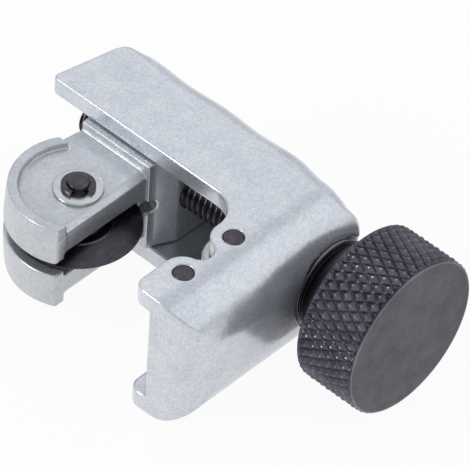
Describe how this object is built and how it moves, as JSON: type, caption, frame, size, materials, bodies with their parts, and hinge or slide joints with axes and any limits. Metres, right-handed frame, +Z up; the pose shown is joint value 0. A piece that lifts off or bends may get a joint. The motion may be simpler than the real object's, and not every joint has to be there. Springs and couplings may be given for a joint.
{
  "type": "tube cutter",
  "caption": "Compact tube cutter: a knurled knob and screw draw a sliding carriage with a cutting wheel towards rollers in a C-shaped cast body.",
  "frame": {"origin": "on the surface that the tool lies on, under the middle of its bounding box", "axes": "+X along the feed screw towards the knob, +Y from the open jaw towards the body's back, +Z up along the axes of the wheel and the rollers"},
  "size_m": [0.0608, 0.0396, 0.024],
  "materials": {
    "cast_alloy": "satin die-cast alloy",
    "bright_steel": "bright turned steel",
    "black_steel": "black oxide steel",
    "black_knob": "black coated knurled metal"
  },
  "bodies": {
    "frame": {"body_casting": "cast_alloy", "roller_pin_back": "black_steel", "roller_pin_front": "black_steel"},
    "roller_back": {"roller_back": "bright_steel"},
    "roller_front": {"roller_front": "bright_steel"},
    "carriage": {"carriage_casting": "cast_alloy", "wheel_axle": "black_steel", "axle_washer": "bright_steel", "axle_clip": "black_steel"},
    "wheel": {"cutter_wheel": "black_steel"},
    "screw": {"feed_screw": "black_steel", "retaining_ring": "bright_steel", "thrust_washer": "bright_steel", "knob": "black_knob"}
  },
  "joints": [
    {"name": "knob_turn", "type": "hinge", "parent": "frame", "child": "screw", "pos_m": [0.0082, 0.0078, 0.012], "axis": [-1, 0, 0], "range_deg": [-2736, 3600]},
    {"name": "carriage_slide", "type": "slide", "parent": "frame", "child": "carriage", "axis": [1, 0, 0], "range_m": [-0.0076, 0.01]},
    {"name": "wheel_turn", "type": "hinge", "parent": "carriage", "child": "wheel", "pos_m": [-0.0157, -0.0086, 0.012], "axis": [0, 0, 1], "continuous": true},
    {"name": "roller_back_turn", "type": "hinge", "parent": "frame", "child": "roller_back", "pos_m": [0.0082, -0.00378, 0.012], "axis": [0, 0, 1], "continuous": true},
    {"name": "roller_front_turn", "type": "hinge", "parent": "frame", "child": "roller_front", "pos_m": [0.0082, -0.01342, 0.012], "axis": [0, 0, 1], "continuous": true}
  ],
  "couplings": [
    {"joint": "carriage_slide", "follows": "knob_turn", "m_per_rad": 0.00015915}
  ]
}
